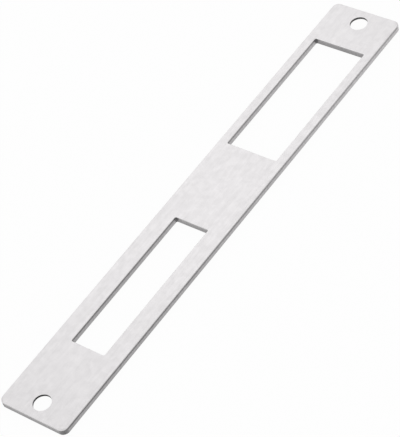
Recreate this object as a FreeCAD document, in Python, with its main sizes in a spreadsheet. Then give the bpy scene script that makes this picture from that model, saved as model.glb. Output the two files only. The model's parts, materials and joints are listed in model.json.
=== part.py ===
import FreeCAD, Part
import enum
import math
import os

import Sketcher

# A flat door strike plate: one strip of sheet steel with two windows and two countersunk screw holes.
#
# The face that shows is the top, and the plate lies on its underside. The origin is the middle of the
# underside, X runs across the plate, and Y runs along it with the latch window at +Y and the bolt
# window at -Y. Both screw holes are on the centre line, one at each end, countersunk from below.

NODE = "strike_plate"

# Driving dimensions in millimetres, and one angle in degrees
DRIVING_SIZES = {
    "plate_width": 24.0,
    "plate_thickness": 2.0,
    "corner_radius": 2.0,
    "edge_round": 0.3,
    "bolt_end_margin": 26.0,
    "bolt_window_length": 50.0,
    "bolt_window_rail": 6.0,
    "bridge_length": 30.5,
    "latch_window_length": 47.5,
    "latch_window_rail": 3.0,
    "latch_end_margin": 16.0,
    "screw_end_distance": 5.25,
    "screw_hole_diameter": 5.5,
    "countersink_depth": 1.25,
    "countersink_angle": 90.0,
}

# Lengths that follow from the driving dimensions
PLATE_LENGTH = (
    "sizes.bolt_end_margin + sizes.bolt_window_length + sizes.bridge_length"
    " + sizes.latch_window_length + sizes.latch_end_margin"
)
BOLT_WINDOW_WIDTH = "sizes.plate_width - 2 * sizes.bolt_window_rail"
LATCH_WINDOW_WIDTH = "sizes.plate_width - 2 * sizes.latch_window_rail"
COUNTERSINK_DIAMETER = (
    "sizes.screw_hole_diameter + 2 * sizes.countersink_depth * tan(sizes.countersink_angle / 2)"
)

UP = FreeCAD.Vector(0, 0, 1)
QUARTER_TURN = math.pi / 2
FLATNESS = 1e-6


class Spot(enum.IntEnum):
    """The points of a line or an arc, by the numbers that constraints call them."""

    START = 1
    END = 2
    CENTRE = 3


class Axis(enum.IntEnum):
    """The axes of a sketch, by the numbers that constraints call them."""

    X = -1
    Y = -2


ORIGIN = (Axis.X, Spot.START)


def add_size_sheet(document):
    """Write the driving dimensions to the sheet that everything is bound to."""
    sheet = document.addObject("Spreadsheet::Sheet", "sizes")
    for row, (alias, size) in enumerate(DRIVING_SIZES.items(), start=1):
        sheet.set(f"A{row}", alias)
        sheet.set(f"B{row}", str(size))
        sheet.setAlias(f"B{row}", alias)
    document.recompute()


def origin_plane(body, role):
    """Find one of the body's own origin planes."""
    return next(item for item in body.Origin.OriginFeatures if item.Role == role)


def underside_sketch(body, name):
    """Start a sketch on the plane of the plate's underside."""
    sketch = body.newObject("Sketcher::SketchObject", name)
    sketch.AttachmentSupport = [(origin_plane(body, "XY_Plane"), "")]
    sketch.MapMode = "FlatFace"
    return sketch


def length_of(sketch, formula):
    """Give the length that a formula stands for, to draw the sketch at its size."""
    return float(sketch.evalExpression(formula))


def bind(sketch, name, formula, kind, *places):
    """Add a dimension to the sketch and tie it to the formula."""
    index = sketch.addConstraint(Sketcher.Constraint(kind, *places, length_of(sketch, formula)))
    sketch.renameConstraint(index, name)
    sketch.setExpression(f"Constraints.{name}", formula)


def draw_line(sketch, start, end):
    """Draw a straight line between two points and give its number."""
    return sketch.addGeometry(Part.LineSegment(FreeCAD.Vector(*start, 0), FreeCAD.Vector(*end, 0)), False)


def draw_quarter(sketch, centre, radius, start_angle):
    """Draw a quarter circle, anticlockwise from its start angle, and give its number."""
    circle = Part.Circle(FreeCAD.Vector(*centre, 0), UP, radius)
    quarter = Part.ArcOfCircle(circle, start_angle, start_angle + QUARTER_TURN)
    return sketch.addGeometry(quarter, False)


def draw_centre_line(sketch):
    """Draw the plate's centre line, from end to end, for the cuts to be measured from."""
    half_length = length_of(sketch, PLATE_LENGTH) / 2
    line = draw_line(sketch, (0, -half_length), (0, half_length))
    sketch.setConstruction(line, True)
    sketch.addConstraint(Sketcher.Constraint("Vertical", line))
    sketch.addConstraint(Sketcher.Constraint("Symmetric", line, Spot.START, line, Spot.END, *ORIGIN))
    bind(sketch, "plate_length", PLATE_LENGTH, "DistanceY", line, Spot.START, line, Spot.END)
    return line


def draw_plate_outline(sketch):
    """Draw the strip's outline: a rectangle about the origin with four equal round corners."""
    half_width = length_of(sketch, "sizes.plate_width") / 2
    half_length = length_of(sketch, PLATE_LENGTH) / 2
    radius = length_of(sketch, "sizes.corner_radius")
    inner_x = half_width - radius
    inner_y = half_length - radius
    near = draw_line(sketch, (-inner_x, -half_length), (inner_x, -half_length))
    right = draw_line(sketch, (half_width, -inner_y), (half_width, inner_y))
    far = draw_line(sketch, (inner_x, half_length), (-inner_x, half_length))
    left = draw_line(sketch, (-half_width, inner_y), (-half_width, -inner_y))
    near_right = draw_quarter(sketch, (inner_x, -inner_y), radius, -QUARTER_TURN)
    far_right = draw_quarter(sketch, (inner_x, inner_y), radius, 0)
    far_left = draw_quarter(sketch, (-inner_x, inner_y), radius, QUARTER_TURN)
    near_left = draw_quarter(sketch, (-inner_x, -inner_y), radius, 2 * QUARTER_TURN)
    outline = [near, near_right, right, far_right, far, far_left, left, near_left]
    for piece, following in zip(outline, outline[1:] + outline[:1]):
        sketch.addConstraint(Sketcher.Constraint("Tangent", piece, Spot.END, following, Spot.START))
    for line in (near, far):
        sketch.addConstraint(Sketcher.Constraint("Horizontal", line))
    for line in (right, left):
        sketch.addConstraint(Sketcher.Constraint("Vertical", line))
    for corner in (far_right, far_left, near_left):
        sketch.addConstraint(Sketcher.Constraint("Equal", near_right, corner))
    opposite = (near_right, Spot.CENTRE, far_left, Spot.CENTRE)
    sketch.addConstraint(Sketcher.Constraint("Symmetric", *opposite, *ORIGIN))
    bind(sketch, "corner_radius", "sizes.corner_radius", "Radius", near_right)
    bind(sketch, "plate_width", "sizes.plate_width", "DistanceX", left, Spot.START, right, Spot.START)
    bind(sketch, "plate_length", PLATE_LENGTH, "DistanceY", near, Spot.START, far, Spot.START)


def draw_rectangle(sketch, width_formula, length_formula, near_y):
    """Draw a rectangle across the centre line and give its near and far lines."""
    half_width = length_of(sketch, width_formula) / 2
    far_y = near_y + length_of(sketch, length_formula)
    near = draw_line(sketch, (-half_width, near_y), (half_width, near_y))
    right = draw_line(sketch, (half_width, near_y), (half_width, far_y))
    far = draw_line(sketch, (half_width, far_y), (-half_width, far_y))
    left = draw_line(sketch, (-half_width, far_y), (-half_width, near_y))
    outline = [near, right, far, left]
    for side, following in zip(outline, outline[1:] + outline[:1]):
        sketch.addConstraint(Sketcher.Constraint("Coincident", side, Spot.END, following, Spot.START))
    for line in (right, left):
        sketch.addConstraint(Sketcher.Constraint("Vertical", line))
    sketch.addConstraint(Sketcher.Constraint("Horizontal", far))
    sketch.addConstraint(Sketcher.Constraint("Symmetric", near, Spot.START, near, Spot.END, Axis.Y))
    bind(sketch, "window_width", width_formula, "DistanceX", near, Spot.START, near, Spot.END)
    bind(sketch, "window_length", length_formula, "DistanceY", right, Spot.START, right, Spot.END)
    return near, far


def draw_bolt_window(sketch):
    """Draw the narrow window, set off from the plate's near end."""
    centre_line = draw_centre_line(sketch)
    near_y = length_of(sketch, "sizes.bolt_end_margin") - length_of(sketch, PLATE_LENGTH) / 2
    near, _ = draw_rectangle(sketch, BOLT_WINDOW_WIDTH, "sizes.bolt_window_length", near_y)
    from_end = (centre_line, Spot.START, near, Spot.START)
    bind(sketch, "end_margin", "sizes.bolt_end_margin", "DistanceY", *from_end)


def draw_latch_window(sketch):
    """Draw the wide window, set off from the plate's far end."""
    centre_line = draw_centre_line(sketch)
    far_y = length_of(sketch, PLATE_LENGTH) / 2 - length_of(sketch, "sizes.latch_end_margin")
    near_y = far_y - length_of(sketch, "sizes.latch_window_length")
    _, far = draw_rectangle(sketch, LATCH_WINDOW_WIDTH, "sizes.latch_window_length", near_y)
    to_end = (far, Spot.START, centre_line, Spot.END)
    bind(sketch, "end_margin", "sizes.latch_end_margin", "DistanceY", *to_end)


def draw_screw_hole(sketch):
    """Draw the screw hole at the near end, on the centre line."""
    centre_line = draw_centre_line(sketch)
    centre_y = length_of(sketch, "sizes.screw_end_distance") - length_of(sketch, PLATE_LENGTH) / 2
    radius = length_of(sketch, "sizes.screw_hole_diameter") / 2
    centre = FreeCAD.Vector(0, centre_y, 0)
    circle = sketch.addGeometry(Part.Circle(centre, UP, radius), False)
    sketch.addConstraint(Sketcher.Constraint("PointOnObject", circle, Spot.CENTRE, Axis.Y))
    bind(sketch, "hole_diameter", "sizes.screw_hole_diameter", "Diameter", circle)
    from_end = (centre_line, Spot.START, circle, Spot.CENTRE)
    bind(sketch, "end_distance", "sizes.screw_end_distance", "DistanceY", *from_end)


def pad_strip(document, body):
    """Cut the strip out of the sheet: the outline, as thick as the plate."""
    outline = underside_sketch(body, "plate_outline")
    draw_plate_outline(outline)
    strip = body.newObject("PartDesign::Pad", "strip")
    strip.Profile = outline
    strip.setExpression("Length", "sizes.plate_thickness")
    document.recompute()
    return strip


def round_rims(document, body, strip):
    """Break the sharp rims of the strip's two faces with a small round."""
    flat_faces = [
        f"Face{number}"
        for number, face in enumerate(strip.Shape.Faces, start=1)
        if face.BoundBox.ZLength < FLATNESS
    ]
    rims = body.newObject("PartDesign::Fillet", "rim_rounds")
    rims.Base = (strip, flat_faces)
    rims.setExpression("Radius", "sizes.edge_round")
    document.recompute()
    return rims


def cut_window(document, body, name, draw_window):
    """Punch one window right through the plate."""
    outline = underside_sketch(body, f"{name}_outline")
    draw_window(outline)
    window = body.newObject("PartDesign::Pocket", name)
    window.Profile = outline
    window.Type = "ThroughAll"
    window.Reversed = True
    document.recompute()
    return window


def drill_screw_hole(document, body):
    """Drill the near screw hole and countersink it from below."""
    place = underside_sketch(body, "screw_place")
    draw_screw_hole(place)
    document.recompute()
    hole = body.newObject("PartDesign::Hole", "screw_hole")
    hole.Profile = place
    hole.Reversed = True
    hole.DepthType = "ThroughAll"
    hole.HoleCutType = "Countersink"
    hole.HoleCutCustomValues = True
    hole.setExpression("Diameter", "sizes.screw_hole_diameter")
    hole.setExpression("HoleCutDiameter", COUNTERSINK_DIAMETER)
    hole.setExpression("HoleCutCountersinkAngle", "sizes.countersink_angle")
    document.recompute()
    return hole


def mirror_to_far_end(document, body, hole):
    """Repeat the screw hole at the far end, mirrored about the middle of the plate."""
    pair = body.newObject("PartDesign::Mirrored", "screw_hole_pair")
    pair.Originals = [hole]
    pair.MirrorPlane = (origin_plane(body, "XZ_Plane"), [""])
    body.Tip = pair
    document.recompute()
    return pair


def build_strike_plate(document):
    """Make the plate: the strip, its rim rounds, two windows and two screw holes."""
    body = document.addObject("PartDesign::Body", "StrikePlate")
    body.Label = NODE
    strip = pad_strip(document, body)
    steps = [strip, round_rims(document, body, strip)]
    steps.append(cut_window(document, body, "bolt_window", draw_bolt_window))
    steps.append(cut_window(document, body, "latch_window", draw_latch_window))
    hole = drill_screw_hole(document, body)
    steps.append(hole)
    steps.append(mirror_to_far_end(document, body, hole))
    for before, after in zip(steps, steps[1:]):
        if after.Shape.Volume >= before.Shape.Volume:
            raise RuntimeError(f"{after.Label} takes no metal away")
    return body


def check_model(document, body):
    """Stop if a feature failed, a sketch is loose or the plate is not one sound solid."""
    for item in document.Objects:
        if "Invalid" in item.State or "Error" in item.State:
            raise RuntimeError(f"{item.Label} failed: {item.State}")
        if item.isDerivedFrom("Sketcher::SketchObject") and not item.FullyConstrained:
            raise RuntimeError(f"{item.Label} is not fully constrained")
    if body.Shape.isNull() or not body.Shape.isValid() or len(body.Shape.Solids) != 1:
        raise RuntimeError(f"{body.Label} is not one sound solid")


def main():
    """Build the plate, check it and write it out."""
    document = FreeCAD.newDocument("door_strike_plate")
    add_size_sheet(document)
    body = build_strike_plate(document)
    check_model(document, body)
    os.makedirs("parts", exist_ok=True)
    body.Shape.exportStep(f"parts/{body.Label}.step")
    box = body.Shape.optimalBoundingBox()
    print(f"{body.Label}: {box.XLength:.3f} x {box.YLength:.3f} x {box.ZLength:.3f} mm")
    print(f"volume {body.Shape.Volume:.3f} cubic mm")


main()
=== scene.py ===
"""A flat door strike plate in brushed satin steel, lying on a pale floor under soft studio light."""

import json
import logging
import math
from collections.abc import Callable, Iterable
from dataclasses import dataclass
from enum import Enum

import bpy
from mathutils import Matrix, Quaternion, Vector


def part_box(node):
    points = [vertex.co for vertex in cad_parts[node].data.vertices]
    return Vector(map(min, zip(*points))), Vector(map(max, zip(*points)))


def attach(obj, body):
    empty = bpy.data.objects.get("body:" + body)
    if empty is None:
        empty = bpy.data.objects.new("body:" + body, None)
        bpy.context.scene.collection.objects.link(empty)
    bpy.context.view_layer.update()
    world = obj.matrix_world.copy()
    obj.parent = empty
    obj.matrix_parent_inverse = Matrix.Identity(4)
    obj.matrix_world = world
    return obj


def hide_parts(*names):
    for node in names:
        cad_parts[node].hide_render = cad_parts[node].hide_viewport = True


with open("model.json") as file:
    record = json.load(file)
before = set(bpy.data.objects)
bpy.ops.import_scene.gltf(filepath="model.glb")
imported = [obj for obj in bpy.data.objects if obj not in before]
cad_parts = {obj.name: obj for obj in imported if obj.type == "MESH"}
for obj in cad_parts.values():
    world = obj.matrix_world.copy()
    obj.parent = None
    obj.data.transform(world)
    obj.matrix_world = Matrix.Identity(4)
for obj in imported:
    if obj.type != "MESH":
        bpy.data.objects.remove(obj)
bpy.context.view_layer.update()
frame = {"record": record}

LOG = logging.getLogger("strike_plate")
MM = 0.001
NODE = "strike_plate"
BODY = "root"
RIM_MARK = "rim"
# Marks the outer corners' rounds, whose walls get painted shade near the plate's near end and painted
# light at its far end
OUTER_CORNER_SHADE_MARK = "corner"
# Marks the windows' corners, where the walls are darkened with painted shade
NOOK_SHADE_MARK = "shaded_nook"

# The room that the record leaves between an opening's box and the window's walls
WINDOW_CLEARANCE = 0.1 * MM
# How near a place has to be to count as the same place
TOUCH = 0.02 * MM
# The bevel profile of a circular round
ROUND = 0.5
# A wall's normal has less than this upward part, and every other face's has more
WALL_LIMIT = 0.5

Colour = tuple[float, float, float]
EdgeTest = Callable[[Vector, Vector], bool]
PlaceTest = Callable[[Vector], bool]
FaceTest = Callable[[Vector, Vector], bool]
Value = float | Vector | Colour | bpy.types.NodeSocket

# The steel of each finish, before its zones are made lighter or darker; the walls' and the bores' steel is
# darkened with painted shade
FACE_STEEL: Colour = (0.794, 0.777, 0.785)
# Partly the duller sheared steel, partly painted shade for the shaded floor that the walls mirror
SHADED_WALL_STEEL: Colour = (0.397, 0.388, 0.392)
# Far darker than the walls: painted shade inside the narrow holes
SHADED_BORE_STEEL: Colour = (0.081, 0.079, 0.08)
COUNTERSINK_STEEL: Colour = (0.58, 0.567, 0.573)


class Surface(Enum):
    """The kinds of surface on the plate, each with the number of its material slot."""

    FACE = 0
    # The walls are sorted by where they stand and which way they face, so that each kind gets its own
    # painted light and shade
    OUTER_SIDE = 1
    WINDOW_SIDE = 2
    CROSS_WALL = 3
    BORE = 4
    COUNTERSINK = 5


class Bench:
    """Picks geometry by its place and shapes it with the mesh tools, one object at a time."""

    def __init__(self, name: str) -> None:
        """Start a new object from a flat unit square.

        Args:
            name: What the object and its mesh are called.
        """
        bpy.ops.object.select_all(action="DESELECT")
        bpy.ops.mesh.primitive_plane_add(size=1.0, location=(0.0, 0.0, 0.0), calc_uvs=False)
        self.piece = bpy.context.active_object
        self.piece.name = name
        self.piece.data.name = name

    def edit(self, mode: str = "FACE") -> None:
        """Go into edit mode with the given kind of selection."""
        bpy.ops.object.mode_set(mode="EDIT")
        bpy.ops.mesh.select_mode(type=mode)

    def leave(self) -> None:
        """Go back to object mode."""
        bpy.ops.object.mode_set(mode="OBJECT")

    def pick_nothing(self) -> None:
        """Deselect every vertex, edge and face."""
        self.edit()
        bpy.ops.mesh.select_all(action="DESELECT")
        self.leave()

    def pick_all(self) -> None:
        """Go into edit mode with the whole mesh selected."""
        self.edit()
        bpy.ops.mesh.select_all(action="SELECT")

    def pick_faces(self, test: FaceTest) -> int:
        """Go into edit mode with the faces that pass a test selected.

        Args:
            test: Takes a face's centre and normal.

        Returns:
            How many faces were picked.
        """
        self.pick_nothing()
        picked = [face for face in self.piece.data.polygons if test(face.center, face.normal)]
        for face in picked:
            face.select = True
        self.edit("FACE")
        return len(picked)

    def pick_edges(self, test: EdgeTest) -> int:
        """Go into edit mode with the edges that pass a test selected.

        Args:
            test: Takes the places of an edge's two ends.

        Returns:
            How many edges were picked.
        """
        self.pick_nothing()
        mesh = self.piece.data
        picked = [
            edge
            for edge in mesh.edges
            if test(mesh.vertices[edge.vertices[0]].co, mesh.vertices[edge.vertices[1]].co)
        ]
        for edge in picked:
            edge.select = True
        self.edit("EDGE")
        return len(picked)

    def cut(self, place: Vector, direction: Vector) -> None:
        """Cut what is picked along a plane and leave edit mode."""
        bpy.ops.mesh.bisect(plane_co=place, plane_no=direction)
        self.leave()

    def round_off(self, radius: float, steps: int, affect: str = "EDGES") -> None:
        """Round what is picked and leave edit mode."""
        bpy.ops.mesh.bevel(offset=radius, segments=steps, profile=ROUND, affect=affect)
        self.leave()

    def apply(self, kind: str, **settings: object) -> None:
        """Add a modifier with the given settings and apply it.

        Args:
            kind: The modifier's type.
            settings: The modifier's own settings by name.
        """
        modifier = self.piece.modifiers.new(kind.lower(), kind)
        for name, value in settings.items():
            setattr(modifier, name, value)
        bpy.ops.object.modifier_apply(modifier=modifier.name)


@dataclass(frozen=True)
class Window:
    """One rectangular window, by its half width and the places of its two ends."""

    half_width: float
    near: float
    far: float

    def outside(self, place: Vector) -> tuple[float, float]:
        """Give how far a place is past the window's sides and past its ends, seen from above."""
        return (abs(place.x) - self.half_width, max(self.near - place.y, place.y - self.far))

    def holds(self, place: Vector) -> bool:
        """Tell whether a place lies inside the window, seen from above."""
        return max(self.outside(place)) < 0.0

    def has_wall(self, centre: Vector, normal: Vector) -> bool:
        """Tell whether a face is one of the window's walls."""
        return abs(normal.z) < WALL_LIMIT and abs(max(self.outside(centre))) < TOUCH

    def from_corner(self, place: Vector) -> float:
        """Give how far a place is from the nearest of the window's corners, seen from above."""
        return math.hypot(*self.outside(place))


class NodeBench:
    """Adds nodes to one node tree and wires them up."""

    def __init__(self, tree: bpy.types.NodeTree) -> None:
        """Take the tree to work on.

        Args:
            tree: A material's, world's or group's node tree.
        """
        self.tree = tree

    def add(
        self, kind: str, inputs: dict[str | int, Value] | None = None, **settings: object
    ) -> bpy.types.Node:
        """Add one node.

        Args:
            kind: The node's type.
            inputs: Values and sockets for its inputs, by name or number.
            settings: The node's own settings by name.

        Returns:
            The new node.
        """
        node = self.tree.nodes.new(kind)
        for name, value in settings.items():
            setattr(node, name, value)
        for key, value in (inputs or {}).items():
            self.feed(node.inputs[key], value)
        return node

    def feed(self, socket: bpy.types.NodeSocket, value: Value) -> None:
        """Link or set one input.

        Args:
            socket: The input.
            value: The output to link, or the value to set.
        """
        if isinstance(value, bpy.types.NodeSocket):
            self.tree.links.new(value, socket)
        elif socket.type == "RGBA":
            socket.default_value = (*value, 1.0)
        else:
            socket.default_value = value

    def math(self, operation: str, *values: Value) -> bpy.types.NodeSocket:
        """Add a Math node and give its output."""
        return self.add("ShaderNodeMath", dict(enumerate(values)), operation=operation).outputs[0]

    def vector_math(self, operation: str, first: Value, second: Value) -> bpy.types.NodeSocket:
        """Add a Vector Math node and give its vector."""
        return self.add("ShaderNodeVectorMath", {0: first, 1: second}, operation=operation).outputs[0]

    def position(self) -> bpy.types.NodeSocket:
        """Give the place on the piece."""
        return self.add("ShaderNodeTexCoord").outputs["Object"]

    def mix_values(self, factor: Value, low: Value, high: Value) -> bpy.types.NodeSocket:
        """Add a Mix node for plain values and give its output."""
        node = self.add("ShaderNodeMix", {"Factor": factor, 2: low, 3: high}, data_type="FLOAT")
        return node.outputs[0]

    def mix_colours(self, factor: Value, low: Value, high: Value) -> bpy.types.NodeSocket:
        """Add a Mix node for colours and give its output."""
        node = self.add("ShaderNodeMix", {0: factor, 6: low, 7: high}, data_type="RGBA")
        return node.outputs[2]

    def spread(self, value: Value, low: Value, high: Value) -> bpy.types.NodeSocket:
        """Stretch the part of a value between two bounds to run from 0 to 1.

        Args:
            value: The value.
            low: The bound that becomes 0.
            high: The bound that becomes 1.

        Returns:
            The stretched value, level at both ends.
        """
        node = self.add(
            "ShaderNodeMapRange",
            {"Value": value, "From Min": low, "From Max": high},
            interpolation_type="SMOOTHSTEP",
        )
        return node.outputs[0]

    def give(self, value: Value) -> bpy.types.NodeTree:
        """Link the output of the group on the bench and give the finished group."""
        self.feed(self.tree.nodes["Group Output"].inputs[0], value)
        return self.tree


class Effects:
    """The node groups that the plate's finishes share."""

    MARK_ROUGHNESS = 0.6
    MARK_RANGE = (0.25, 0.75)
    CLOUD_DETAIL = 4.0
    CLOUD_ROUGHNESS = 0.55
    CLOUD_SWIRL = 0.4
    CLOUD_RANGE = (0.3, 0.7)
    TRACE_DETAIL = 3.0
    TRACE_RANGE = (0.35, 0.65)

    def __init__(self) -> None:
        """Build the groups once."""
        self.marks = self.make_marks()
        self.clouds = self.make_clouds()
        self.wear = self.make_wear_and_shade_mask("edge_wear", RIM_MARK)
        self.shaded_nook = self.make_wear_and_shade_mask("painted_nook_shade", NOOK_SHADE_MARK)
        self.shade_ramp = self.make_shading_ramp()
        self.shear = self.make_shear()

    @staticmethod
    def start(name: str, inputs: dict[str, str], output: str) -> tuple[NodeBench, bpy.types.Node]:
        """Start a group with its sockets.

        Args:
            name: What the group is called.
            inputs: The kind of each input socket by its name.
            output: The name of its output value.

        Returns:
            The bench for the group's nodes, and the node that holds its inputs.
        """
        group = bpy.data.node_groups.new(name, "ShaderNodeTree")
        for socket, kind in inputs.items():
            group.interface.new_socket(socket, in_out="INPUT", socket_type=kind)
        group.interface.new_socket(output, in_out="OUTPUT", socket_type="NodeSocketFloat")
        given = group.nodes.new("NodeGroupInput")
        group.nodes.new("NodeGroupOutput")
        return NodeBench(group), given

    def make_marks(self) -> bpy.types.NodeTree:
        """Make the marks of a tool: fine lines, long one way and thin the other two.

        Returns:
            The new group.
        """
        sockets = {"Lines per Metre": "NodeSocketVector"}
        sockets |= dict.fromkeys(("Detail", "Offset"), "NodeSocketFloat")
        bench, given = self.start("tool_marks", sockets, "Lines")
        scaled = bench.vector_math("MULTIPLY", bench.position(), given.outputs["Lines per Metre"])
        noise = bench.add(
            "ShaderNodeTexNoise",
            {
                "Vector": bench.vector_math("ADD", scaled, given.outputs["Offset"]),
                "Scale": 1.0,
                "Detail": given.outputs["Detail"],
                "Roughness": self.MARK_ROUGHNESS,
            },
        )
        return bench.give(bench.spread(noise.outputs[0], *self.MARK_RANGE))

    def make_clouds(self) -> bpy.types.NodeTree:
        """Make the soft cloudy tone of rolled sheet that has been handled and wiped.

        Returns:
            The new group.
        """
        bench, given = self.start("cloudy_tone", {"Patches per Metre": "NodeSocketVector"}, "Tone")
        scaled = bench.vector_math("MULTIPLY", bench.position(), given.outputs["Patches per Metre"])
        noise = bench.add(
            "ShaderNodeTexNoise",
            {
                "Vector": scaled,
                "Scale": 1.0,
                "Detail": self.CLOUD_DETAIL,
                "Roughness": self.CLOUD_ROUGHNESS,
                "Distortion": self.CLOUD_SWIRL,
            },
        )
        return bench.give(bench.spread(noise.outputs[0], *self.CLOUD_RANGE))

    def make_wear_and_shade_mask(self, name: str, mark: str) -> bpy.types.NodeTree:
        """Make an uneven, patchy mask on the marked places: rubbed wear on the rims, and painted shade in
        the windows' corners.

        Args:
            name: What the group is called.
            mark: The attribute that marks the places.

        Returns:
            The new group.
        """
        sizes = ("Amount", "Patches per Metre", "Least Share")
        bench, given = self.start(name, dict.fromkeys(sizes, "NodeSocketFloat"), "Mask")
        marked = bench.add("ShaderNodeAttribute", attribute_name=mark).outputs["Fac"]
        noise = bench.add(
            "ShaderNodeTexNoise",
            {
                "Vector": bench.position(),
                "Scale": given.outputs["Patches per Metre"],
                "Detail": self.TRACE_DETAIL,
            },
        )
        patchy = bench.spread(noise.outputs[0], *self.TRACE_RANGE)
        uneven = bench.mix_values(patchy, given.outputs["Least Share"], 1.0)
        traces = bench.math("MULTIPLY", marked, uneven)
        return bench.give(bench.math("MULTIPLY", traces, given.outputs["Amount"]))

    def make_shading_ramp(self) -> bpy.types.NodeTree:
        """Make the ramp along the plate, from 0 near to 1 far, along which painted light and shade change.

        Returns:
            The new group.
        """
        bench, given = self.start("lengthwise_painted_shade", {"Reach": "NodeSocketFloat"}, "Drift")
        reach = given.outputs["Reach"]
        place = bench.add("ShaderNodeSeparateXYZ", {0: bench.position()})
        near = bench.math("MULTIPLY", reach, -1.0)
        return bench.give(bench.spread(place.outputs["Y"], near, reach))

    def make_shear(self) -> bpy.types.NodeTree:
        """Make the mask of the smooth band that a punch shears, which ends at a wavy border below.

        Returns:
            The new group.
        """
        sizes = ("Wander", "Border", "Waviness", "Blur")
        bench, node = self.start("shear_band", dict.fromkeys(sizes, "NodeSocketFloat"), "Smooth")
        given = node.outputs
        place = bench.add("ShaderNodeSeparateXYZ", {0: bench.position()})
        lifted = bench.math("MULTIPLY_ADD", given["Wander"], given["Waviness"], place.outputs["Z"])
        middle = bench.math("MULTIPLY_ADD", given["Waviness"], 0.5, given["Border"])
        low = bench.math("SUBTRACT", middle, given["Blur"])
        high = bench.math("ADD", middle, given["Blur"])
        return bench.give(bench.spread(lifted, low, high))


@dataclass(frozen=True)
class Finish:
    """What every steel finish on the plate has."""

    name: str
    colour: Colour
    roughness: float
    tone_range: float = 0.1
    # How far each way from the middle the painted light and shade along the plate reach
    shading_reach: float = 78.0 * MM
    wear_amount: float = 0.7
    wear_patches: float = 300.0
    least_wear: float = 0.4

    def start(self) -> tuple[bpy.types.Material, NodeBench, bpy.types.Node]:
        """Start a metal material.

        Returns:
            The material, the bench for its nodes, and its shader.
        """
        material = bpy.data.materials.new(self.name)
        material.use_nodes = True
        shader = material.node_tree.nodes["Principled BSDF"]
        shader.inputs["Metallic"].default_value = 1.0
        return material, NodeBench(material.node_tree), shader

    @property
    def tones(self) -> tuple[float, float]:
        """How dark and how light the finish's pattern gets."""
        return (1.0 - self.tone_range, 1.0 + self.tone_range)

    def shade(self, by: float) -> Colour:
        """Give the finish's colour made lighter or darker."""
        return tuple(min(1.0, part * by) for part in self.colour)

    def place(self, bench: NodeBench, group: bpy.types.NodeTree, **inputs: Value) -> bpy.types.NodeSocket:
        """Place one of the shared groups.

        Args:
            bench: The bench for the material's nodes.
            group: The group to place.
            inputs: Its inputs, with underscores for spaces.

        Returns:
            The group's output.
        """
        node = bench.add("ShaderNodeGroup", node_tree=group)
        for name, value in inputs.items():
            bench.feed(node.inputs[name.replace("_", " ")], value)
        return node.outputs[0]

    def wear(self, bench: NodeBench, effects: Effects) -> bpy.types.NodeSocket:
        """Place the mask of the rims that handling has rubbed.

        Args:
            bench: The bench for the material's nodes.
            effects: The shared node groups.

        Returns:
            The mask.
        """
        return self.place(
            bench,
            effects.wear,
            Amount=self.wear_amount,
            Patches_per_Metre=self.wear_patches,
            Least_Share=self.least_wear,
        )

    def zone(
        self, bench: NodeBench, pattern: Value, shade_ramp: Value, lightness: tuple[float, float]
    ) -> bpy.types.NodeSocket:
        """Colour a zone whose lightness changes along the plate, as painted light and shade.

        Args:
            bench: The bench for the material's nodes.
            pattern: The zone's own pattern, from dark at 0 to light at 1.
            shade_ramp: How far along the plate a place is, from 0 to 1.
            lightness: The zone's lightness at the plate's two ends, painted light and shade.

        Returns:
            The zone's colour.
        """
        near, far = lightness
        dark, light = (
            bench.mix_colours(shade_ramp, self.shade(near * tone), self.shade(far * tone))
            for tone in self.tones
        )
        return bench.mix_colours(pattern, dark, light)

    def groove(self, bench: NodeBench, shader: bpy.types.Node, height: Value, depth: float) -> None:
        """Cut a pattern into the surface by a given depth."""
        bump = bench.add("ShaderNodeBump", {"Height": height, "Strength": 1.0, "Distance": depth})
        bench.feed(shader.inputs["Normal"], bump.outputs[0])


@dataclass(frozen=True)
class BrushedFace(Finish):
    """Satin steel brushed along the strip, slightly cloudy, with rims rubbed smoother."""

    roughness: float = 0.36
    tone_range: float = 0.05
    line_width: float = 0.55 * MM
    line_length: float = 25.0 * MM
    hair_width: float = 0.09 * MM
    hair_length: float = 5.0 * MM
    cloud_width: float = 2.0 * MM
    cloud_length: float = 2.6 * MM
    line_detail: float = 4.0
    hair_detail: float = 3.0
    hair_offset: float = 17.0
    hair_share: float = 0.6
    cloud_share: float = 0.4
    cloud_gloss_share: float = 0.35
    groove_depth: float = 0.006 * MM
    roughness_range: float = 0.07
    worn_lightness: float = 1.1
    worn_roughness: float = 0.22
    wear_amount: float = 0.8
    wear_patches: float = 180.0

    def make(self, effects: Effects) -> bpy.types.Material:
        """Make the material.

        Args:
            effects: The shared node groups.

        Returns:
            The finished material.
        """
        material, bench, shader = self.start()
        lines = self.place(
            bench,
            effects.marks,
            Lines_per_Metre=(1 / self.line_width, 1 / self.line_length, 1 / self.line_width),
            Detail=self.line_detail,
        )
        hairs = self.place(
            bench,
            effects.marks,
            Lines_per_Metre=(1 / self.hair_width, 1 / self.hair_length, 1 / self.hair_width),
            Detail=self.hair_detail,
            Offset=self.hair_offset,
        )
        clouds = self.place(
            bench,
            effects.clouds,
            Patches_per_Metre=(1 / self.cloud_width, 1 / self.cloud_length, 1 / self.cloud_width),
        )
        worn = self.wear(bench, effects)
        brushed = bench.mix_values(self.hair_share, lines, hairs)
        tone = bench.mix_values(self.cloud_share, brushed, clouds)
        dark, light = (self.shade(by) for by in self.tones)
        colour = bench.mix_colours(tone, dark, light)
        rubbed = self.shade(self.worn_lightness)
        bench.feed(shader.inputs["Base Color"], bench.mix_colours(worn, colour, rubbed))
        rough = bench.mix_values(
            bench.mix_values(self.cloud_gloss_share, brushed, clouds),
            self.roughness + self.roughness_range,
            self.roughness - self.roughness_range,
        )
        bench.feed(shader.inputs["Roughness"], bench.mix_values(worn, rough, self.worn_roughness))
        self.groove(bench, shader, brushed, self.groove_depth)
        return material


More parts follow.
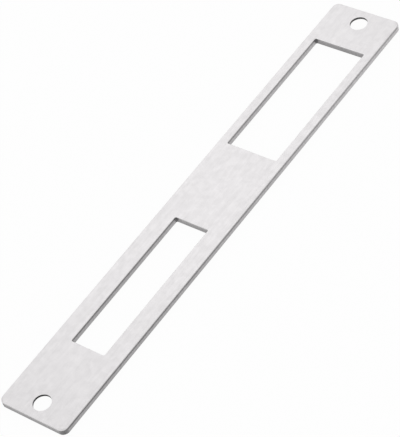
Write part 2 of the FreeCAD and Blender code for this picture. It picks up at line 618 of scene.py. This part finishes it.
@dataclass(frozen=True)
class PunchedEdge(Finish):
    """The walls that the punch leaves: a smooth band under the rim, its dark colour painted shade, and a
    torn zone below it.

    Both take painted light and shade that change along the plate, more so on the outer corners, and
    painted shade darkens the windows' corners.
    """

    roughness: float = 0.48
    # The torn zone's lightness at both ends; the change between them is painted light and shade
    torn_lightness: tuple[float, float] = (1.0, 1.0)
    # The smooth band's lightness at both ends: the band is real, its darkness under the rim is painted
    # shade
    band_shade_lightness: tuple[float, float] = (1.0, 1.0)
    # The outer corners' lightness at both ends: painted shade near, painted light far
    outer_corner_shade_lightness: tuple[float, float] = (0.5, 1.9)
    # How dark the painted shade in the windows' corners makes the walls
    nook_shade_lightness: float = 0.34
    band_roughness: float = 0.3
    border: float = 1.3 * MM
    waviness: float = 0.2 * MM
    border_blur: float = 0.12 * MM
    wave_width: float = 1.28 * MM
    wave_detail: float = 2.0
    wave_offset: float = 5.0
    score_width: float = 0.16 * MM
    score_height: float = 2.5 * MM
    score_depth: float = 0.012 * MM
    score_detail: float = 3.0
    tone_range: float = 0.16
    wear_amount: float = 0.6
    wear_patches: float = 220.0
    nook_shade_amount: float = 1.0
    nook_shade_patches: float = 900.0
    least_nook_shade: float = 0.8

    def make(self, effects: Effects) -> bpy.types.Material:
        """Make the material.

        Args:
            effects: The shared node groups.

        Returns:
            The finished material.
        """
        material, bench, shader = self.start()
        scores = self.place(
            bench,
            effects.marks,
            Lines_per_Metre=(1 / self.score_width, 1 / self.score_width, 1 / self.score_height),
            Detail=self.score_detail,
        )
        wander = self.place(
            bench,
            effects.marks,
            Lines_per_Metre=(1 / self.wave_width, 1 / self.wave_width, 0.0),
            Detail=self.wave_detail,
            Offset=self.wave_offset,
        )
        smooth = self.place(
            bench,
            effects.shear,
            Wander=wander,
            Border=self.border,
            Waviness=self.waviness,
            Blur=self.border_blur,
        )
        # Painted light and shade that change along the plate
        shade_ramp = self.place(bench, effects.shade_ramp, Reach=self.shading_reach)
        worn = self.wear(bench, effects)
        # Patchy painted shade in the windows' corners
        shaded_nook = self.place(
            bench,
            effects.shaded_nook,
            Amount=self.nook_shade_amount,
            Patches_per_Metre=self.nook_shade_patches,
            Least_Share=self.least_nook_shade,
        )
        torn = self.zone(bench, scores, shade_ramp, self.torn_lightness)
        # The smooth band under the rim, darkened with painted shade
        band = self.zone(bench, scores, shade_ramp, self.band_shade_lightness)
        # Painted shade and light on the outer corners' rounds
        corner = self.zone(bench, scores, shade_ramp, self.outer_corner_shade_lightness)
        turned = bench.add("ShaderNodeAttribute", attribute_name=OUTER_CORNER_SHADE_MARK).outputs["Fac"]
        straight = bench.mix_colours(smooth, torn, band)
        before_nook_shade = bench.mix_colours(turned, straight, corner)
        # Darken the windows' corners with painted shade
        with_nook_shade = bench.mix_colours(shaded_nook, before_nook_shade, self.shade(self.nook_shade_lightness))
        bench.feed(shader.inputs["Base Color"], with_nook_shade)
        rough = bench.mix_values(smooth, self.roughness, self.band_roughness)
        bench.feed(shader.inputs["Roughness"], bench.mix_values(worn, rough, self.band_roughness))
        self.groove(bench, shader, scores, self.score_depth)
        return material


@dataclass(frozen=True)
class TurnedBore(Finish):
    """The drilled bores and their countersinks, with the rings that the cutter leaves."""

    roughness: float = 0.4
    lightness: tuple[float, float] = (1.0, 1.0)
    ring_height: float = 0.07 * MM
    ring_depth: float = 0.01 * MM
    ring_detail: float = 2.0
    ring_patches: float = 60.0
    cloud_size: float = 2.0 * MM
    cloud_share: float = 0.4
    tone_range: float = 0.18
    roughness_range: float = 0.08
    worn_lightness: float = 1.6
    wear_patches: float = 400.0

    def make(self, effects: Effects) -> bpy.types.Material:
        """Make the material.

        Args:
            effects: The shared node groups.

        Returns:
            The finished material.
        """
        material, bench, shader = self.start()
        rings = self.place(
            bench,
            effects.marks,
            Lines_per_Metre=(self.ring_patches, self.ring_patches, 1 / self.ring_height),
            Detail=self.ring_detail,
        )
        clouds = self.place(bench, effects.clouds, Patches_per_Metre=(1 / self.cloud_size,) * 3)
        # Painted light and shade that change along the plate
        shade_ramp = self.place(bench, effects.shade_ramp, Reach=self.shading_reach)
        pattern = bench.mix_values(self.cloud_share, rings, clouds)
        colour = self.zone(bench, pattern, shade_ramp, self.lightness)
        rubbed = self.shade(self.worn_lightness)
        worn = self.wear(bench, effects)
        bench.feed(shader.inputs["Base Color"], bench.mix_colours(worn, colour, rubbed))
        rough = bench.mix_values(
            rings, self.roughness + self.roughness_range, self.roughness - self.roughness_range
        )
        bench.feed(shader.inputs["Roughness"], rough)
        self.groove(bench, shader, rings, self.ring_depth)
        return material


@dataclass(frozen=True)
class StrikePlate:
    """The plate itself: a punched strip with two windows and two countersunk screw holes."""

    width: float
    length: float
    thickness: float
    latch_window: Window
    bolt_window: Window
    hole_radius: float
    hole_place: float
    corner_radius: float = 2.0 * MM
    window_corner: float = 0.3 * MM
    # How far the painted shade reaches from each window corner
    nook_shade_reach: float = 0.7 * MM
    outline_rim: float = 0.2 * MM
    outline_lower_rim: float = 0.12 * MM
    window_rim: float = 0.16 * MM
    hole_rim: float = 0.08 * MM
    burr_break: float = 0.05 * MM
    countersink_depth: float = 1.25 * MM
    countersink_radius: float = 4.0 * MM
    corner_steps: int = 12
    rim_steps: int = 4
    hole_side_steps: int = 16
    soft_angle: float = math.radians(40.0)
    flat_face_weight: int = 100
    wall_lean: float = math.cos(math.radians(65.0))
    flat_lean: float = math.cos(math.radians(20.0))
    level_limit: float = 0.999
    upright_limit: float = 0.001
    weld_reach: float = TOUCH / 100

    @classmethod
    def from_frame(cls) -> "StrikePlate":
        """Read the plate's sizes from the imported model.

        Returns:
            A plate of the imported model's size, with its windows and holes.
        """
        low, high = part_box(NODE)
        record = frame["record"]
        boxes = {opening["name"]: opening["box_m"] for opening in record["physics"]["openings"]}
        screws = next(mount for mount in record["mounts"] if mount["name"] == "screw_holes")
        return cls(
            width=high.x - low.x,
            length=high.y - low.y,
            thickness=high.z - low.z,
            latch_window=cls.window_round(boxes["latch_window"]),
            bolt_window=cls.window_round(boxes["bolt_window"]),
            hole_radius=screws["dims"]["hole_r_mm"] * MM,
            hole_place=screws["dims"]["spacing_y_mm"] / 2 * MM,
        )

    @staticmethod
    def window_round(box: list[list[float]]) -> Window:
        """Give the window whose walls stand just outside an opening's box.

        Args:
            box: The box's lowest and highest corners.

        Returns:
            The window.
        """
        low, high = box
        return Window(
            half_width=high[0] + WINDOW_CLEARANCE,
            near=low[1] - WINDOW_CLEARANCE,
            far=high[1] + WINDOW_CLEARANCE,
        )

    @property
    def windows(self) -> tuple[Window, Window]:
        """Both windows."""
        return (self.latch_window, self.bolt_window)

    @property
    def hole_centres(self) -> tuple[Vector, Vector]:
        """The middles of both screw holes, at the height of the underside."""
        return (Vector((0.0, self.hole_place, 0.0)), Vector((0.0, -self.hole_place, 0.0)))

    @property
    def hole_margin(self) -> float:
        """How far a screw hole's middle is from the plate's end, which is half the side of its square."""
        return self.length / 2 - self.hole_place

    def from_hole(self, place: Vector) -> float:
        """Give how far a place is from the axis of the nearest screw hole."""
        return min((place - centre).xy.length for centre in self.hole_centres)

    def off_square(self, place: Vector, centre: Vector) -> float:
        """Give how far a place is outside the square from a screw hole to the plate's end."""
        return max(abs(place.x - centre.x), abs(place.y - centre.y)) - self.hole_margin

    def build(self) -> bpy.types.Object:
        """Model the plate.

        Returns:
            The finished piece, with its place in its mesh.
        """
        bench = Bench("strike_plate_steel")
        self.lay_out_strip(bench)
        self.mark_out(bench)
        self.punch_windows(bench)
        self.drill_holes(bench)
        self.give_thickness(bench)
        self.countersink(bench)
        self.divide_window_walls(bench)
        self.round_window_corners(bench)
        self.break_edges(bench)
        self.split_flats(bench)
        self.smooth(bench)
        self.sort_surfaces(bench.piece)
        self.mark_rims(bench.piece)
        self.mark_outer_corner_shade(bench.piece)
        self.mark_nook_shade(bench.piece)
        return bench.piece

    def lay_out_strip(self, bench: Bench) -> None:
        """Draw the strip's outline at the height of the top face, with its round corners.

        Args:
            bench: Where the plate is being made.
        """
        bench.pick_all()
        bpy.ops.transform.resize(value=(self.width, self.length, 1.0))
        bpy.ops.transform.translate(value=(0.0, 0.0, self.thickness))
        bpy.ops.mesh.select_mode(type="VERT")
        bpy.ops.mesh.select_all(action="SELECT")
        bench.round_off(self.corner_radius, self.corner_steps, affect="VERTICES")

    def mark_out(self, bench: Bench) -> None:
        """Cut the sheet along the sides of the windows and of a square round each hole.

        The squares reach the plate's ends, so that no cut runs into the outline's round corners.

        Args:
            bench: Where the plate is being made.
        """
        across = [self.hole_margin]
        along = [self.hole_place - self.hole_margin, self.hole_margin - self.hole_place]
        for window in self.windows:
            across.append(window.half_width)
            along += [window.near, window.far]
        across += [-place for place in across]
        for place, direction in self.upright_cuts(across, along):
            bench.pick_all()
            bench.cut(place, direction)

    @staticmethod
    def upright_cuts(across: Iterable[float], along: Iterable[float]) -> list[tuple[Vector, Vector]]:
        """Give upright cuts through the plate.

        Args:
            across: Where the lengthwise cuts are, across the plate.
            along: Where the crosswise cuts are, along the plate.

        Returns:
            A point and the direction of each cut.
        """
        lengthwise = [(Vector((place, 0.0, 0.0)), Vector((1.0, 0.0, 0.0))) for place in across]
        crosswise = [(Vector((0.0, place, 0.0)), Vector((0.0, 1.0, 0.0))) for place in along]
        return lengthwise + crosswise

    def punch_windows(self, bench: Bench) -> None:
        """Take out the sheet inside both windows.

        Args:
            bench: Where the plate is being made.
        """
        bench.pick_faces(lambda centre, _: any(window.holds(centre) for window in self.windows))
        bpy.ops.mesh.delete(type="FACE")
        bench.leave()

    def drill_holes(self, bench: Bench) -> None:
        """Replace the square round each hole by a ring of faces from the square to the hole.

        Args:
            bench: Where the plate is being made.
        """
        for centre in self.hole_centres:
            self.open_square(bench, centre)
        first, second = self.hole_centres
        self.add_ring(bench, first)
        bench.pick_faces(lambda place, _: self.off_square(place, first) < 0.0)
        bpy.ops.mesh.duplicate_move(TRANSFORM_OT_translate={"value": second - first})
        bpy.ops.mesh.select_all(action="SELECT")
        bpy.ops.mesh.remove_doubles(threshold=TOUCH)
        bench.leave()

    def open_square(self, bench: Bench, centre: Vector) -> None:
        """Take out the square of one hole and divide its sides.

        Args:
            bench: Where the plate is being made.
            centre: The middle of the hole.
        """
        bench.pick_faces(lambda place, _: (place - centre).xy.length < self.hole_radius)
        bpy.ops.mesh.delete(type="ONLY_FACE")
        bench.leave()
        bench.pick_edges(lambda start, end: self.joins_square(start, end, centre))
        bpy.ops.mesh.subdivide(number_cuts=self.hole_side_steps - 1)
        bench.leave()

    def joins_square(self, start: Vector, end: Vector, centre: Vector) -> bool:
        """Tell whether an edge lies on the sides of the square of one hole."""
        return all(abs(self.off_square(place, centre)) < TOUCH for place in (start, end))

    def add_ring(self, bench: Bench, centre: Vector) -> None:
        """Draw the circle of one hole and bridge it to its square.

        Args:
            bench: Where the plate is being made.
            centre: The middle of the hole.
        """
        bench.pick_nothing()
        bench.edit("EDGE")
        bpy.ops.mesh.primitive_circle_add(
            vertices=4 * self.hole_side_steps,
            radius=self.hole_radius,
            location=(centre.x, centre.y, self.thickness),
        )
        bench.leave()

        def on_circle(place: Vector) -> bool:
            """Tell whether a place lies on the hole's circle."""
            return abs((place - centre).xy.length - self.hole_radius) < TOUCH

        bench.pick_edges(
            lambda start, end: self.joins_square(start, end, centre)
            or (on_circle(start) and on_circle(end))
        )
        bpy.ops.mesh.bridge_edge_loops()
        bench.leave()

    def give_thickness(self, bench: Bench) -> None:
        """Thicken the sheet down to the underside."""
        bench.apply("SOLIDIFY", thickness=self.thickness, offset=-1.0)

    def countersink(self, bench: Bench) -> None:
        """Cut each hole's wall at the countersink's depth and open its lower rim to the mouth.

        Args:
            bench: Where the plate is being made.
        """
        near_hole = self.hole_radius + TOUCH

        def bore_wall(place: Vector, normal: Vector) -> bool:
            """Tell whether a face is part of a hole's wall."""
            return self.from_hole(place) < near_hole and abs(normal.z) < WALL_LIMIT

        bench.pick_faces(bore_wall)
        bench.cut(Vector((0.0, 0.0, self.countersink_depth)), Vector((0.0, 0.0, 1.0)))
        opening = self.countersink_radius / self.hole_radius

        def low(place: Vector, centre: Vector) -> bool:
            """Tell whether a place lies on one hole's lower rim."""
            return place.z < TOUCH and (place - centre).xy.length < near_hole

        for centre in self.hole_centres:
            bench.pick_edges(lambda start, end, c=centre: low(start, c) and low(end, c))
            bpy.ops.transform.resize(value=(opening, opening, 1.0), center_override=centre)
            bench.leave()

    def divide_window_walls(self, bench: Bench) -> None:
        """Cut the windows' walls next to each corner, where the painted shade in the corners fades out.

        Args:
            bench: Where the plate is being made.
        """
        for window in self.windows:
            inset = window.half_width - self.nook_shade_reach
            ends = (window.near + self.nook_shade_reach, window.far - self.nook_shade_reach)
            for place, direction in self.upright_cuts((inset, -inset), ends):
                bench.pick_faces(window.has_wall)
                bench.cut(place, direction)

    def round_window_corners(self, bench: Bench) -> None:
        """Round the upright edges in the windows' corners, as a punch does.

        Args:
            bench: Where the plate is being made.
        """

        def upright_corner(start: Vector, end: Vector) -> bool:
            """Tell whether an edge stands upright in a window's corner."""
            upright = (start - end).xy.length < TOUCH
            return upright and any(window.from_corner(start) < TOUCH for window in self.windows)

        bench.pick_edges(upright_corner)
        bench.round_off(self.window_corner, self.rim_steps)

    def break_edges(self, bench: Bench) -> None:
        """Round the rims: the outline, the windows and the holes, on both faces.

        Args:
            bench: Where the plate is being made.
        """
        top = self.thickness
        self.break_rim(bench, self.on_outline, top, self.outline_rim)
        self.break_rim(bench, self.on_outline, 0.0, self.outline_lower_rim)
        self.break_rim(bench, self.on_window_rim, top, self.window_rim)
        self.break_rim(bench, self.on_window_rim, 0.0, self.burr_break)
        self.break_rim(bench, self.on_hole_rim, top, self.hole_rim)
        self.break_rim(bench, self.on_countersink_rim, 0.0, self.burr_break)

    def break_rim(self, bench: Bench, on_rim: PlaceTest, height: float, radius: float) -> None:
        """Round one rim.

        Args:
            bench: Where the plate is being made.
            on_rim: Tells whether a place lies on the rim, seen from above.
            height: The height of the rim.
            radius: The radius of the round.
        """

        def picked(start: Vector, end: Vector) -> bool:
            """Tell whether an edge lies on the rim."""
            at_height = abs(start.z - height) < TOUCH and abs(end.z - height) < TOUCH
            return at_height and on_rim(start) and on_rim(end) and on_rim((start + end) / 2)

        count = bench.pick_edges(picked)
        bench.round_off(radius, self.rim_steps)
        LOG.info("rim at height %.2f mm: %d edges rounded by %.2f mm", height / MM, count, radius / MM)

    def past_straight(self, place: Vector) -> Vector:
        """Give how far a place is past the outline's straight parts.

        Args:
            place: The place.

        Returns:
            How far it is past them across the plate and along it, never below zero.
        """
        inner_x = self.width / 2 - self.corner_radius
        inner_y = self.length / 2 - self.corner_radius
        return Vector((max(abs(place.x) - inner_x, 0.0), max(abs(place.y) - inner_y, 0.0)))

    def on_outline(self, place: Vector) -> bool:
        """Tell whether a place lies on the plate's outline, seen from above."""
        return abs(self.past_straight(place).length - self.corner_radius) < TOUCH

    def on_window_rim(self, place: Vector) -> bool:
        """Tell whether a place lies on the outline of either window, with its round corners.

        Args:
            place: The place, of which the height doesn't matter.

        Returns:
            True where it does.
        """
        slack = self.window_corner * (1.0 - math.sqrt(0.5)) + TOUCH
        for window in self.windows:
            across, along = window.outside(place)
            if abs(max(across, along)) < TOUCH:
                return True
            if -slack < across < TOUCH and -slack < along < TOUCH:
                return True
        return False

    def on_hole_rim(self, place: Vector) -> bool:
        """Tell whether a place lies on the rim of a screw hole, seen from above."""
        return abs(self.from_hole(place) - self.hole_radius) < 2 * TOUCH

    def on_countersink_rim(self, place: Vector) -> bool:
        """Tell whether a place lies on the mouth of a countersink, seen from above."""
        return abs(self.from_hole(place) - self.countersink_radius) < 2 * TOUCH

    def split_flats(self, bench: Bench) -> None:
        """Divide the faces with many sides into well shaped triangles.

        Args:
            bench: Where the plate is being made.
        """
        bench.pick_nothing()
        bench.edit()
        bpy.ops.mesh.select_face_by_sides(number=4, type="GREATER")
        bpy.ops.mesh.quads_convert_to_tris(ngon_method="BEAUTY")
        bench.leave()

    def smooth(self, bench: Bench) -> None:
        """Shade the rounds smooth and keep the flat faces flat.

        Args:
            bench: Where the plate is being made.
        """
        bench.pick_all()
        bpy.ops.mesh.remove_doubles(threshold=self.weld_reach)
        bpy.ops.mesh.select_all(action="SELECT")
        bpy.ops.mesh.normals_make_consistent(inside=False)
        bench.leave()
        bpy.ops.object.shade_smooth_by_angle(angle=self.soft_angle)
        bench.apply("WEIGHTED_NORMAL", mode="FACE_AREA", weight=self.flat_face_weight, keep_sharp=True)

    def sort_surfaces(self, piece: bpy.types.Object) -> None:
        """Give each face the material slot of its kind of surface.

        Args:
            piece: The finished plate.
        """
        for face in piece.data.polygons:
            face.material_index = self.surface_of(face.center, face.normal).value

    def surface_of(self, centre: Vector, normal: Vector) -> Surface:
        """Tell what kind of surface a face belongs to.

        Args:
            centre: The face's centre.
            normal: The face's normal.

        Returns:
            The kind of surface.
        """
        in_hole = self.from_hole(centre) < self.countersink_radius
        if in_hole and centre.z < self.countersink_depth and abs(normal.z) < self.flat_lean:
            return Surface.COUNTERSINK
        if abs(normal.z) > self.wall_lean:
            return Surface.FACE
        if in_hole:
            return Surface.BORE
        if abs(normal.x) < abs(normal.y):
            return Surface.CROSS_WALL
        if abs(centre.x) > self.width / 2 - self.corner_radius:
            return Surface.OUTER_SIDE
        return Surface.WINDOW_SIDE

    def mark_rims(self, piece: bpy.types.Object) -> None:
        """Mark each vertex by how far its surface leans, as wear does.

        The mark is 1 where the surface leans by 45 degrees, and 0 on level and on upright faces.

        Args:
            piece: The finished plate.
        """
        mesh = piece.data
        leaning = [0.0] * len(mesh.vertices)
        for face in mesh.polygons:
            lean = math.sin(2.0 * math.acos(min(1.0, abs(face.normal.z))))
            for vertex in face.vertices:
                leaning[vertex] = max(leaning[vertex], lean)
        for face in mesh.polygons:
            upward = abs(face.normal.z)
            if upward > self.level_limit or upward < self.upright_limit:
                for vertex in face.vertices:
                    leaning[vertex] = 0.0
        self.write_mark(mesh, RIM_MARK, leaning)

    def mark_outer_corner_shade(self, piece: bpy.types.Object) -> None:
        """Mark each vertex by how far it lies into an outer corner's round, where the walls get painted
        shade and light.

        The mark is 1 in the middle of the round and 0 at both of its ends.

        Args:
            piece: The finished plate.
        """
        mesh = piece.data
        turned = []
        for vertex in mesh.vertices:
            past = self.past_straight(vertex.co)
            turned.append(math.sqrt(2.0 * past.x * past.y) / max(past.length, TOUCH))
        self.write_mark(mesh, OUTER_CORNER_SHADE_MARK, turned)

    def mark_nook_shade(self, piece: bpy.types.Object) -> None:
        """Mark each vertex by how near it is to a window's corner, where the walls get painted shade.

        Args:
            piece: The finished plate.
        """
        mesh = piece.data
        fade = self.nook_shade_reach - self.window_corner
        with_nook_shade = []
        for vertex in mesh.vertices:
            nearest = min(window.from_corner(vertex.co) for window in self.windows)
            with_nook_shade.append(min(1.0, max(0.0, (self.nook_shade_reach - nearest) / fade)))
        self.write_mark(mesh, NOOK_SHADE_MARK, with_nook_shade)

    @staticmethod
    def write_mark(mesh: bpy.types.Mesh, name: str, values: list[float]) -> None:
        """Keep one value for each vertex as an attribute that the finishes read."""
        mark = mesh.attributes.new(name, "FLOAT", "POINT")
        mark.data.foreach_set("value", values)

    def dress(self, piece: bpy.types.Object) -> None:
        """Put the finishes on the plate, one for each kind of surface.

        Args:
            piece: The finished plate.
        """
        effects = Effects()
        finishes = {
            Surface.FACE: BrushedFace("brushed_face", FACE_STEEL),
            # The three wall finishes are one punched steel, lit and shaded differently with painted light
            # and shade by which way the walls face
            Surface.OUTER_SIDE: PunchedEdge(
                "outer_side_wall", SHADED_WALL_STEEL, torn_lightness=(1.04, 1.4), band_shade_lightness=(0.44, 0.8)
            ),
            Surface.WINDOW_SIDE: PunchedEdge(
                "window_side_wall", SHADED_WALL_STEEL, torn_lightness=(1.04, 1.27), band_shade_lightness=(0.44, 0.7)
            ),
            Surface.CROSS_WALL: PunchedEdge(
                "crosswise_wall", SHADED_WALL_STEEL, torn_lightness=(0.9, 0.815), band_shade_lightness=(0.93, 0.845)
            ),
            # The bores' dark steel and their lightness, darker at the near end, are painted shade
            Surface.BORE: TurnedBore("turned_bore", SHADED_BORE_STEEL, lightness=(0.5, 1.0)),
            Surface.COUNTERSINK: TurnedBore("turned_countersink", COUNTERSINK_STEEL, roughness=0.3),
        }
        for surface in Surface:
            piece.data.materials.append(finishes[surface].make(effects))


@dataclass(frozen=True)
class Studio:
    """The floor, the light and the camera."""

    plate_top: float
    target_across: float = 1.14 * MM
    target_along: float = -6.38 * MM
    azimuth: float = math.radians(50.63)
    elevation: float = math.radians(46.23)
    roll: float = math.radians(19.54)
    distance: float = 602.5 * MM
    lens: float = 172.18
    nearest_seen: float = 10.0 * MM
    farthest_seen: float = 20.0
    floor_size: float = 8.0
    floor_gap: float = 0.02 * MM
    floor_tone: float = 0.97
    floor_glow: float = 0.96
    light_level: float = 0.80
    dim_side: tuple[float, float, float] = (0.80, 0.45, 0.38)
    dim_level: float = 0.7
    dim_inner: float = 0.93
    dim_outer: float = 0.2
    lamp_side: tuple[float, float, float] = (-0.53, 0.455, 0.714)
    lamp_distance: float = 0.7
    lamp_size: float = 0.4
    lamp_power: float = 0.18

    def build(self) -> None:
        """Set up the whole studio."""
        self.add_floor()
        self.add_world()
        self.add_lamp()
        self.add_camera()
        bpy.context.scene.view_settings.view_transform = "Standard"

    def add_camera(self) -> None:
        """Set up the camera at the photograph's angle."""
        back = Vector(
            (
                math.sin(self.azimuth) * math.cos(self.elevation),
                -math.cos(self.azimuth) * math.cos(self.elevation),
                math.sin(self.elevation),
            )
        )
        camera = bpy.data.objects.new("camera", bpy.data.cameras.new("camera"))
        bpy.context.scene.collection.objects.link(camera)
        target = Vector((self.target_across, self.target_along, self.plate_top))
        camera.location = target + back * self.distance
        upright = (-back).to_track_quat("-Z", "Y")
        camera.rotation_mode = "QUATERNION"
        camera.rotation_quaternion = upright @ Quaternion((0.0, 0.0, 1.0), -self.roll)
        camera.data.lens = self.lens
        camera.data.clip_start = self.nearest_seen
        camera.data.clip_end = self.farthest_seen
        bpy.context.scene.camera = camera

    def add_floor(self) -> None:
        """Lay a plain white floor that takes the plate's shadow and is seen through from below."""
        bpy.ops.object.select_all(action="DESELECT")
        bpy.ops.mesh.primitive_plane_add(size=self.floor_size, location=(0.0, 0.0, -self.floor_gap))
        floor = bpy.context.active_object
        floor.name = "floor"
        floor.data.materials.append(self.make_paper())

    def make_paper(self) -> bpy.types.Material:
        """Make the floor's white paper, which glows a little where it is seen.

        Returns:
            The finished material.
        """
        material = bpy.data.materials.new("white_floor")
        material.use_nodes = True
        bench = NodeBench(material.node_tree)
        paper = material.node_tree.nodes["Principled BSDF"]
        bench.feed(paper.inputs["Base Color"], (self.floor_tone,) * 3)
        bench.feed(paper.inputs["Roughness"], 1.0)
        bench.feed(paper.inputs["Specular IOR Level"], 0.0)
        glow = bench.add("ShaderNodeEmission", {"Color": (1.0, 1.0, 1.0), "Strength": 1.0})
        path = bench.add("ShaderNodeLightPath")
        mirrored = bench.math(
            "MAXIMUM", path.outputs["Is Glossy Ray"], path.outputs["Is Transmission Ray"]
        )
        seen = bench.math("MAXIMUM", path.outputs["Is Camera Ray"], mirrored)
        share = bench.math("MULTIPLY", seen, self.floor_glow)
        white = bench.add("ShaderNodeMixShader", {0: share, 1: paper.outputs[0], 2: glow.outputs[0]})
        from_below = bench.add("ShaderNodeNewGeometry").outputs["Backfacing"]
        clear = bench.add("ShaderNodeBsdfTransparent")
        shown = bench.add("ShaderNodeMixShader", {0: from_below, 1: white.outputs[0], 2: clear.outputs[0]})
        bench.feed(material.node_tree.nodes["Material Output"].inputs["Surface"], shown.outputs[0])
        return material

    def add_world(self) -> None:
        """Light the scene evenly from all round, with one side of the room dimmer, and show it white."""
        world = bpy.data.worlds.new("studio")
        bpy.context.scene.world = world
        world.use_nodes = True
        bench = NodeBench(world.node_tree)
        direction = bench.add("ShaderNodeTexCoord").outputs["Generated"]
        along = bench.add(
            "ShaderNodeVectorMath",
            {0: direction, 1: Vector(self.dim_side).normalized()},
            operation="DOT_PRODUCT",
        )
        dim = bench.spread(along.outputs["Value"], self.dim_outer, self.dim_inner)
        level = bench.mix_values(dim, self.light_level, self.light_level * self.dim_level)
        seen = bench.add("ShaderNodeLightPath").outputs["Is Camera Ray"]
        background = world.node_tree.nodes["Background"]
        bench.feed(background.inputs["Color"], (1.0, 1.0, 1.0))
        bench.feed(background.inputs["Strength"], bench.mix_values(seen, level, 1.0))

    def add_lamp(self) -> None:
        """Hang a large soft lamp where the plate's face mirrors it towards the camera."""
        toward = Vector(self.lamp_side).normalized()
        lamp = bpy.data.objects.new("soft_lamp", bpy.data.lights.new("soft_lamp", "AREA"))
        bpy.context.scene.collection.objects.link(lamp)
        lamp.location = toward * self.lamp_distance
        lamp.rotation_mode = "QUATERNION"
        lamp.rotation_quaternion = toward.to_track_quat("Z", "Y")
        lamp.data.size = self.lamp_size
        lamp.data.energy = self.lamp_power


def main() -> None:
    """Build the plate and its studio."""
    logging.basicConfig(level=logging.INFO, format="%(name)s: %(message)s")
    plate = StrikePlate.from_frame()
    piece = plate.build()
    plate.dress(piece)
    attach(piece, BODY)
    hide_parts(NODE)
    LOG.info("%s: %d faces", piece.name, len(piece.data.polygons))
    Studio(plate_top=plate.thickness).build()


if __name__ == "__main__":
    main()
